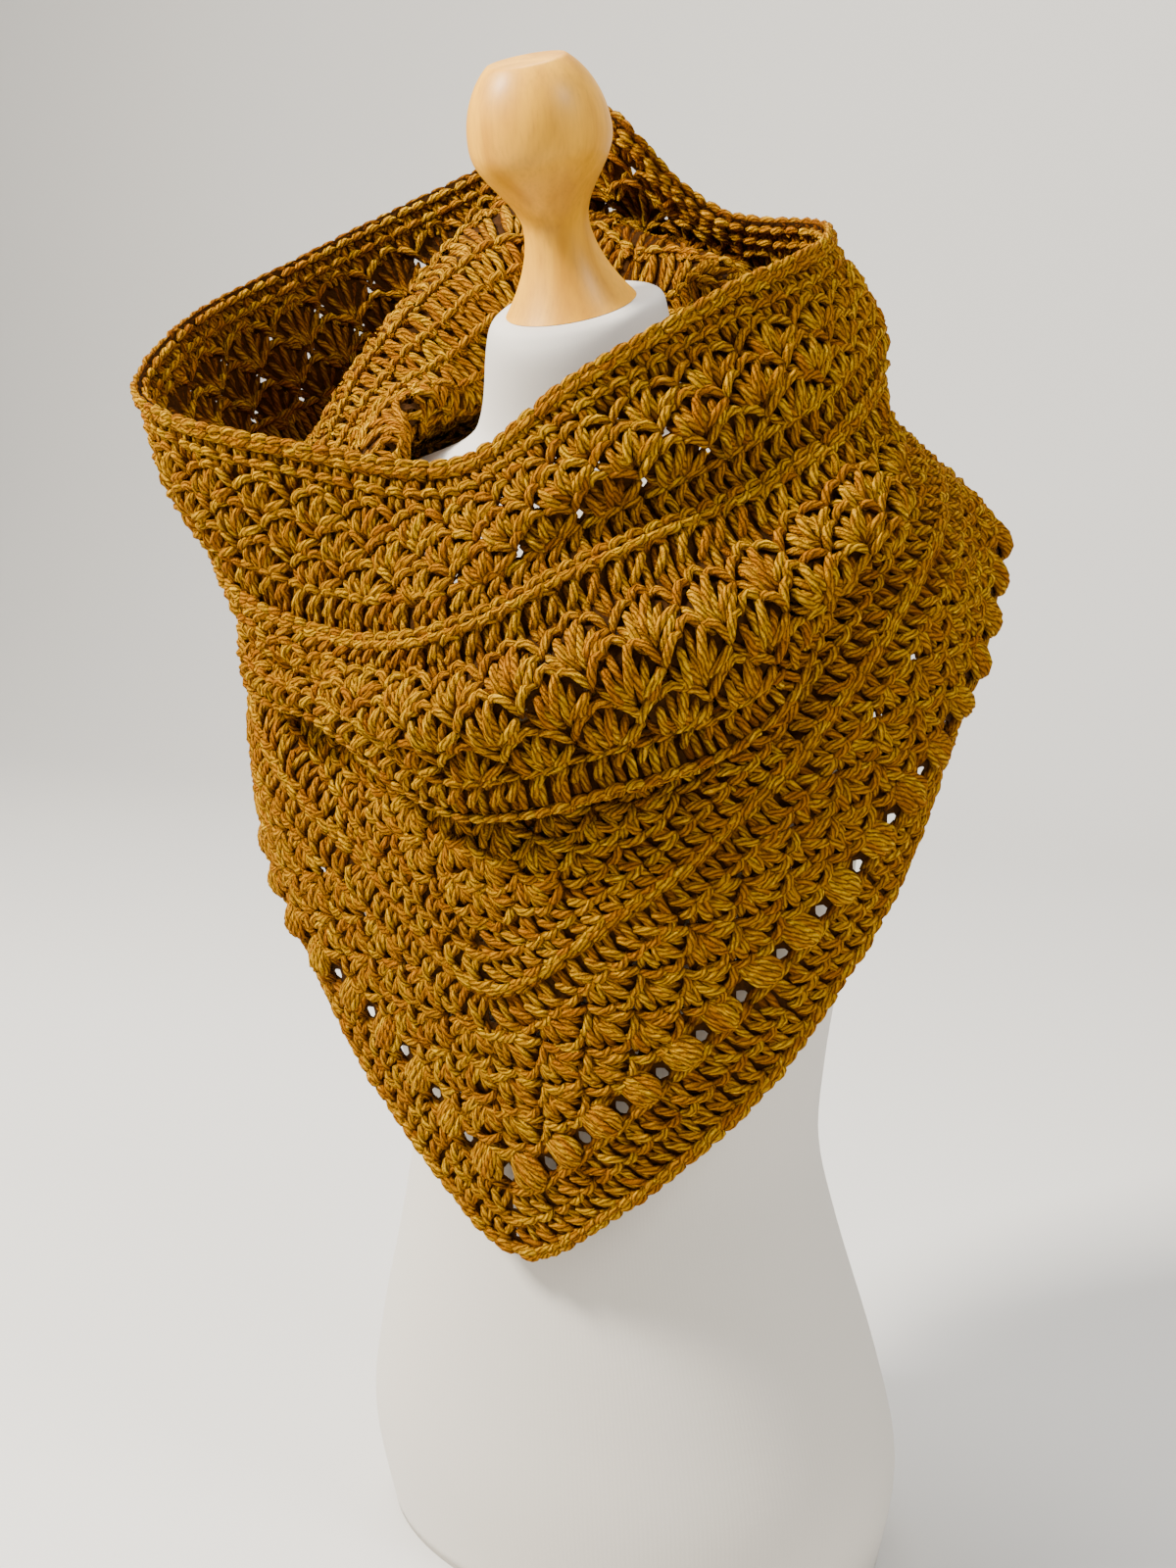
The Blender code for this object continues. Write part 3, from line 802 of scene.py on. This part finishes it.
def yarn_material():
    """Woollen yarn of soft plies: each rounds over from painted shade, brown in its grooves,
    to gold, in dull and bright lengths, with streaks of fibre and a little fuzz. Strands
    deep between the stitches carry painted shade too."""
    made, tree, shader = new_material(
        "woollen_yarn", Roughness=0.8, Sheen_Weight=0.03, Sheen_Roughness=0.4,
        Sheen_Tint=linear(YARN_SHEEN), Specular_IOR_Level=0.05,
    )
    along, around_strand = laid_place(tree)
    place = own_place(tree)
    fuzz = noise(tree, place, scale=1100.0, detail=2.0)
    stray = noise(tree, place, scale=170.0, detail=0.0)
    strayed = maths(tree, "MULTIPLY_ADD", fuzz, 0.5, stray)
    turn = maths(tree, "ADD", along, around_strand)
    laid = maths(tree, "MULTIPLY_ADD", turn, float(PLIES), strayed)
    across = maths(tree, "MULTIPLY_ADD", maths(tree, "FRACT", laid), 2.0, -1.0)
    off_centre = maths(tree, "ABSOLUTE", across)
    height = maths(tree, "SQRT", maths(tree, "SUBTRACT", 1.0, maths(tree, "POWER", off_centre, 2.0)))
    tone = add_node(tree, "ShaderNodeAttribute", attribute_name="tone").outputs["Fac"]
    out_of_shade = add_node(tree, "ShaderNodeAttribute", attribute_name="out_of_shade").outputs["Fac"]
    apart = maths(tree, "MULTIPLY", tone, STRAND_APART)
    dull = ply_patches(
        tree,
        maths(tree, "MULTIPLY", maths(tree, "FLOOR", laid), PLY_APART),
        maths(tree, "MULTIPLY", along, LAY / LENGTH_OF_TONE),
        apart,
    )
    fibre = ply_patches(
        tree,
        maths(tree, "MULTIPLY", laid, FIBRES),
        maths(tree, "MULTIPLY", along, LAY / FIBRE_LENGTH),
        apart,
    )
    drift = noise(tree, place, scale=14.0, detail=3.0)
    # painted shade in the grooves: darker towards the edges of each ply
    groove_shade = maths(tree, "POWER", off_centre, 1.3)
    base = tones(tree, tone, YARN_TONES)
    for factor, weight, code in (
        (drift, 0.5, YARN_DRIFT),
        (dull, 0.6, YARN_DULL),
        (fibre, 0.5, YARN_FIBRE),
        (groove_shade, 0.9, YARN_GROOVE_SHADE),
    ):
        base = mix(tree, maths(tree, "MULTIPLY", factor, weight), base, linear(code))
    # painted shade on strands that lie deep between the stitches
    base = mix(tree, out_of_shade, linear(YARN_SHADE), base)
    rough = maths(tree, "MULTIPLY_ADD", fuzz, 1.2, maths(tree, "MULTIPLY_ADD", fibre, 0.25, height))
    finish_shader(tree, shader, base, rough, strength=1.0, distance=0.001)
    return made


def shaded_ground_material():
    """The same yarn deep between the stitches: darker, as painted shade, matt and lumpy."""
    made, tree, shader = new_material("yarn_ground_shaded", Roughness=0.95, Specular_IOR_Level=0.1)
    lumps = noise(tree, own_place(tree), scale=380.0, detail=3.0)
    # painted shade: dark tones for the yarn deep between the stitches
    base = tones(tree, lumps, GROUND_SHADE_TONES)
    finish_shader(tree, shader, base, lumps, strength=0.8, distance=0.002)
    return made


def jersey_material():
    """Cotton jersey stretched over the form: off-white, matt, with fine upright ribs of stitches and a
    faint painted highlight on their crowns.
    """
    made, tree, shader = new_material(
        "cotton_jersey", Roughness=0.9, Sheen_Weight=0.15, Sheen_Roughness=0.5, Specular_IOR_Level=0.2,
    )
    across, up = laid_place(tree)
    rib = maths(tree, "PINGPONG", across, 0.5)
    course = maths(tree, "PINGPONG", maths(tree, "ADD", up, rib), 0.5)
    knit = maths(tree, "MULTIPLY", maths(tree, "POWER", rib, 0.7), maths(tree, "ADD", course, 0.5))
    crown_highlights = tones(tree, noise(tree, own_place(tree), scale=30.0, detail=4.0), JERSEY_CROWN_HIGHLIGHTS)
    # painted highlight: the knit's crowns are mixed toward lighter tones
    base = mix(tree, maths(tree, "MULTIPLY", knit, 0.15), linear(JERSEY), crown_highlights)
    finish_shader(tree, shader, base, knit, strength=0.2, distance=0.0004)
    return made


def wood_material():
    """Turned beech under satin varnish: warm tan, faint rings and short dark flecks."""
    made, tree, shader = new_material(
        "beech_varnished", Roughness=0.5, Coat_Weight=0.1, Coat_Roughness=0.3, Specular_IOR_Level=0.3,
    )
    upright = add_node(tree, "ShaderNodeMapping", {
        "Vector": own_place(tree),
        "Rotation": (math.radians(-NECK_TILT), 0.0, 0.0),
        "Scale": (1.0, 1.0, GRAIN_DRAW),
    })
    rings = noise(tree, upright.outputs[0], scale=42.0, detail=4.0, distortion=0.8)
    flecks = noise(tree, upright.outputs[0], scale=620.0, detail=2.0)
    ramp = add_node(tree, "ShaderNodeValToRGB", {"Fac": rings})
    for stop, position, code in zip(ramp.color_ramp.elements, GRAIN_STOPS, WOOD_TONES):
        stop.position = position
        stop.color = linear(code)
    fleck = maths(tree, "MULTIPLY", maths(tree, "POWER", flecks, 3.0), 0.6)
    base = mix(tree, fleck, ramp.outputs[0], linear(WOOD_FLECK))
    finish_shader(tree, shader, base, flecks, strength=0.12, distance=0.0003)
    return made


def floor_material():
    """Matt pale paper for the floor and the sweep behind."""
    made, tree, shader = new_material("pale_paper", Roughness=0.95, Specular_IOR_Level=0.1)
    soft = noise(tree, own_place(tree), scale=1.5, detail=2.0)
    tree.links.new(tones(tree, soft, PAPER_TONES), shader.inputs["Base Color"])
    return made


# ---- Pieces ----

def band_plan(top, bottom, worked, rounds):
    """A band's rounds in the order they are worked, each with its kind of stitch."""
    plan = []
    share = 0.0
    for kind, part in rounds:
        start = top + share * (bottom - top)
        end = top + (share + part) * (bottom - top)
        share += part
        plan.append((kind, Round(start, end, worked)))
    if worked == "up":
        plan.reverse()
    return plan


def lay_band(plan, worked, level):
    """Strands of a band's stitches, and the ground behind each of its rounds."""
    corner = CORNER if worked == "down" else 0
    laid, grounds = [], []
    before, centres = None, None
    for kind, stitch_round in plan:
        if kind == "fan" and before is not None:
            centres = fans_on(before, centres, stitch_round)
        else:
            gap = corner if kind in ("plain", "link") else 0
            centres = even_places(stitch_round.length, WIDTHS[kind], gap)
        before = stitch_round if kind == "fan" else None
        if corner and kind in ("plain", "fan"):
            laid += lay_round(stitch_round, "bar", np.zeros(1), np.array([WIDTHS["bar"]]))
        laid += lay_round(stitch_round, kind, centres, pitches(centres, stitch_round.length))
        grounds.append(ground_round(stitch_round, kind, centres, corner, level))
    return laid, grounds


def flat_size(plan):
    """Mean width round a band and its height, in metres."""
    width = float(np.mean([stitch_round.length for _, stitch_round in plan])) * MM
    heights = [np.mean(stitch_round.end - stitch_round.start) for _, stitch_round in plan]
    return width, float(sum(heights)) * MM


def add_bands():
    """Every band of the scarf: its stitches, and the ground behind them. A raised round of
    links is put with the band before it in a local list of sheets, which is not used further."""
    yarn, shaded_ground_yarn = yarn_material(), shaded_ground_material()
    sheets = []
    for name, (start_fold, start_past), (end_fold, end_past), worked, rounds in BANDS:
        top = cloth.folds[start_fold] + start_past
        bottom = cloth.folds[end_fold] + end_past
        level = TUCKED_GROUND if name == "neck_tuck" else GROUND
        plan = band_plan(top, bottom, worked, rounds)
        laid, grounds = lay_band(plan, worked, level)
        points, faces, uvs, strand_tones, out_of_shade_shares = spin(laid, level)
        shares = {"tone": strand_tones, "out_of_shade": out_of_shade_shares}
        stitches = add_mesh(name + "_stitches", points, faces, yarn, uvs, shares)
        offsets = np.cumsum([0] + [len(p) for p, _ in grounds])
        ground = add_mesh(
            name + "_ground",
            np.concatenate([p for p, _ in grounds]),
            np.concatenate([f + offset for (_, f), offset in zip(grounds, offsets)]),
            shaded_ground_yarn,
        )
        for piece in (stitches, ground):
            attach(piece, "root")
        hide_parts(name)
        only = rounds[0][0] if len(rounds) == 1 else None
        if only in ("link", "cord"):
            sheets[-1]["with"] += [stitches, ground]
        else:
            width, height = flat_size(plan)
            area = width * height * (1 - OPEN_SHARE if only == "bobble" else 1)
            sheet = {"ground": ground, "flat": (width, height), "area": area, "with": [stitches]}
            sheets.append(sheet)


def form_rings():
    """Rings of points up the torso and neck."""
    padded = np.array(SECTIONS[:1] + SECTIONS + SECTIONS[-1:], float)
    sizes = []
    for i in range(1, len(SECTIONS)):
        a, b, c, d = padded[i - 1:i + 3]
        for row in range(FORM_ROWS):
            sizes.append(between(b, c, (c - a) / 2, (d - b) / 2, row / FORM_ROWS))
    sizes.append(padded[-1])
    turns = np.arange(FORM_STEPS) * 2 * np.pi / FORM_STEPS
    rings = []
    for height, width, front, back, tilt in sizes:
        y = -np.where(np.cos(turns) > 0, front, back) * np.cos(turns)
        rise = (y - (back - front) / 2) * math.tan(math.radians(tilt))
        rings.append(np.stack([width * np.sin(turns), y, height + rise], axis=-1))
    return np.array(rings)


def lathe_faces(rows, steps):
    """Quads between rings of points, the last step joined to the first."""
    i, j = np.meshgrid(np.arange(rows - 1), np.arange(steps), indexing="ij")
    after = (j + 1) % steps
    corners = [(i + a) * steps + b for a, b in ((0, j), (0, after), (1, after), (1, j))]
    return np.stack(corners, axis=-1).reshape(-1, 4)


def knit_uvs(rows, steps):
    """Coordinates over the form's skin, in ribs round it and courses up it."""
    i, j = np.meshgrid(np.arange(rows - 1), np.arange(steps), indexing="ij")
    u = np.stack([j, j + 1, j + 1, j], axis=-1) * RIBS
    v = np.stack([i, i, i + 1, i + 1], axis=-1) * COURSES
    return np.stack([u, v], axis=-1).reshape(-1, 2)


def add_form():
    """The torso and neck in jersey, closed at both ends."""
    rings = form_rings()
    foot, head = [np.tile(ring.mean(axis=0), (1, FORM_STEPS, 1)) for ring in (rings[0], rings[-1])]
    rings = np.concatenate([foot, rings, head])
    faces = lathe_faces(len(rings), FORM_STEPS)
    uvs = knit_uvs(len(rings), FORM_STEPS)
    form = add_mesh("form_jersey", rings.reshape(-1, 3), faces, jersey_material(), uvs)
    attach(form, "root")
    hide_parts("dress_form")


def cap_outline():
    """Outline (radius, height) of the cap from its flat top down to its foot."""
    crown = math.asin((CAP_HEIGHT - KNOB_HEIGHT) / KNOB_CROWN)
    outline = [(0.0, CAP_HEIGHT), (KNOB_RADIUS * math.cos(crown) * CAP_RING, CAP_HEIGHT)]
    for row in range(CAP_ROWS + 1):
        turn = crown * (1 - row / CAP_ROWS)
        outline.append((KNOB_RADIUS * math.cos(turn), KNOB_HEIGHT + KNOB_CROWN * math.sin(turn)))
    for row in range(1, CAP_ROWS + 1):
        share = row / CAP_ROWS
        swell = (1 + math.cos(math.pi * share)) / 2
        height = KNOB_HEIGHT + (WAIST_HEIGHT - KNOB_HEIGHT) * share
        outline.append((WAIST_RADIUS + (KNOB_RADIUS - WAIST_RADIUS) * swell, height))
    for row in range(1, CAP_ROWS + 1):
        share = row / CAP_ROWS
        radius = WAIST_RADIUS + (FOOT_RADIUS - WAIST_RADIUS) * share ** FLARE
        outline.append((radius, WAIST_HEIGHT * (1 - share)))
    outline += [(FOOT_RADIUS * CAP_RING, 0.0), (0.0, 0.0)]
    return outline


def add_cap():
    """The turned wooden cap on the neck, leaning with it."""
    turns = np.arange(CAP_STEPS) * 2 * np.pi / CAP_STEPS
    rings = np.array([
        np.stack([radius * np.cos(turns), radius * np.sin(turns), np.full(CAP_STEPS, height)], axis=-1)
        for radius, height in cap_outline()[::-1]
    ])
    tilt = math.radians(NECK_TILT)
    x, y, z = rings.reshape(-1, 3).T
    z = z + REST
    y, z = y * math.cos(tilt) - z * math.sin(tilt), y * math.sin(tilt) + z * math.cos(tilt)
    points = np.stack([x, y + NECK_CENTRE, z + NECK_TOP], axis=-1)
    cap = add_mesh("cap_wood", points, lathe_faces(len(rings), CAP_STEPS), wood_material())
    cap.data.set_sharp_from_angle(angle=math.radians(CAP_EDGE))
    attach(cap, "root")
    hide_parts("wooden_cap")


# ---- Floor, lights and camera ----

def add_floor():
    """A pale floor that sweeps up behind the form."""
    outline = [(FLOOR_FRONT, 0.0)]
    for row in range(FLOOR_ROWS + 1):
        turn = math.pi / 2 * row / FLOOR_ROWS
        outline.append((FLOOR_BACK + FLOOR_BEND * math.sin(turn), FLOOR_BEND * (1 - math.cos(turn))))
    outline.append((FLOOR_BACK + FLOOR_BEND, FLOOR_TOP))
    points = np.array([(x, y, z) for y, z in outline for x in (-FLOOR_HALF, FLOOR_HALF)]) / MM
    i = np.arange(len(outline) - 1) * 2
    faces = np.stack([i, i + 1, i + 3, i + 2], axis=-1)
    add_mesh("floor", points, faces, floor_material())


def add_lights():
    """A high key from the front on the wearer's right, a weaker light from their left, one
    from above and behind, all square and soft, and a pale sky."""
    for name, place, width, power, colour in LIGHTS:
        lamp = bpy.data.lights.new(name, "AREA")
        lamp.size = width
        lamp.energy = power
        lamp.color = linear(colour)[:3]
        made = bpy.data.objects.new(name, lamp)
        made.location = place
        toward = Vector(LIT_POINT) - Vector(place)
        made.rotation_euler = toward.to_track_quat("-Z", "Y").to_euler()
        bpy.context.scene.collection.objects.link(made)
    world = bpy.data.worlds.new("studio")
    world.use_nodes = True
    sky = world.node_tree.nodes["Background"]
    sky.inputs["Color"].default_value = linear(SKY)
    sky.inputs["Strength"].default_value = SKY_STRENGTH
    bpy.context.scene.world = world


def add_camera():
    """The camera, a little above the form and off to its left."""
    turn, rise = math.radians(AZIMUTH), math.radians(ELEVATION)
    target = Vector((SIGHT_SHIFT * math.cos(turn), SIGHT_SHIFT * math.sin(turn), SIGHT_HEIGHT))
    away = Vector((math.sin(turn) * math.cos(rise), -math.cos(turn) * math.cos(rise), math.sin(rise)))
    lens = bpy.data.cameras.new("camera")
    lens.sensor_fit = "VERTICAL"
    lens.sensor_height = FILM
    lens.lens = LENS
    made = bpy.data.objects.new("camera", lens)
    made.location = target + away * DISTANCE
    level = (-away).to_track_quat("-Z", "Y")
    made.rotation_mode = "QUATERNION"
    made.rotation_quaternion = level @ Quaternion((0, 0, 1), math.radians(-ROLL))
    bpy.context.scene.collection.objects.link(made)
    bpy.context.scene.camera = made


add_bands()
add_form()
add_cap()
add_floor()
add_lights()
add_camera()
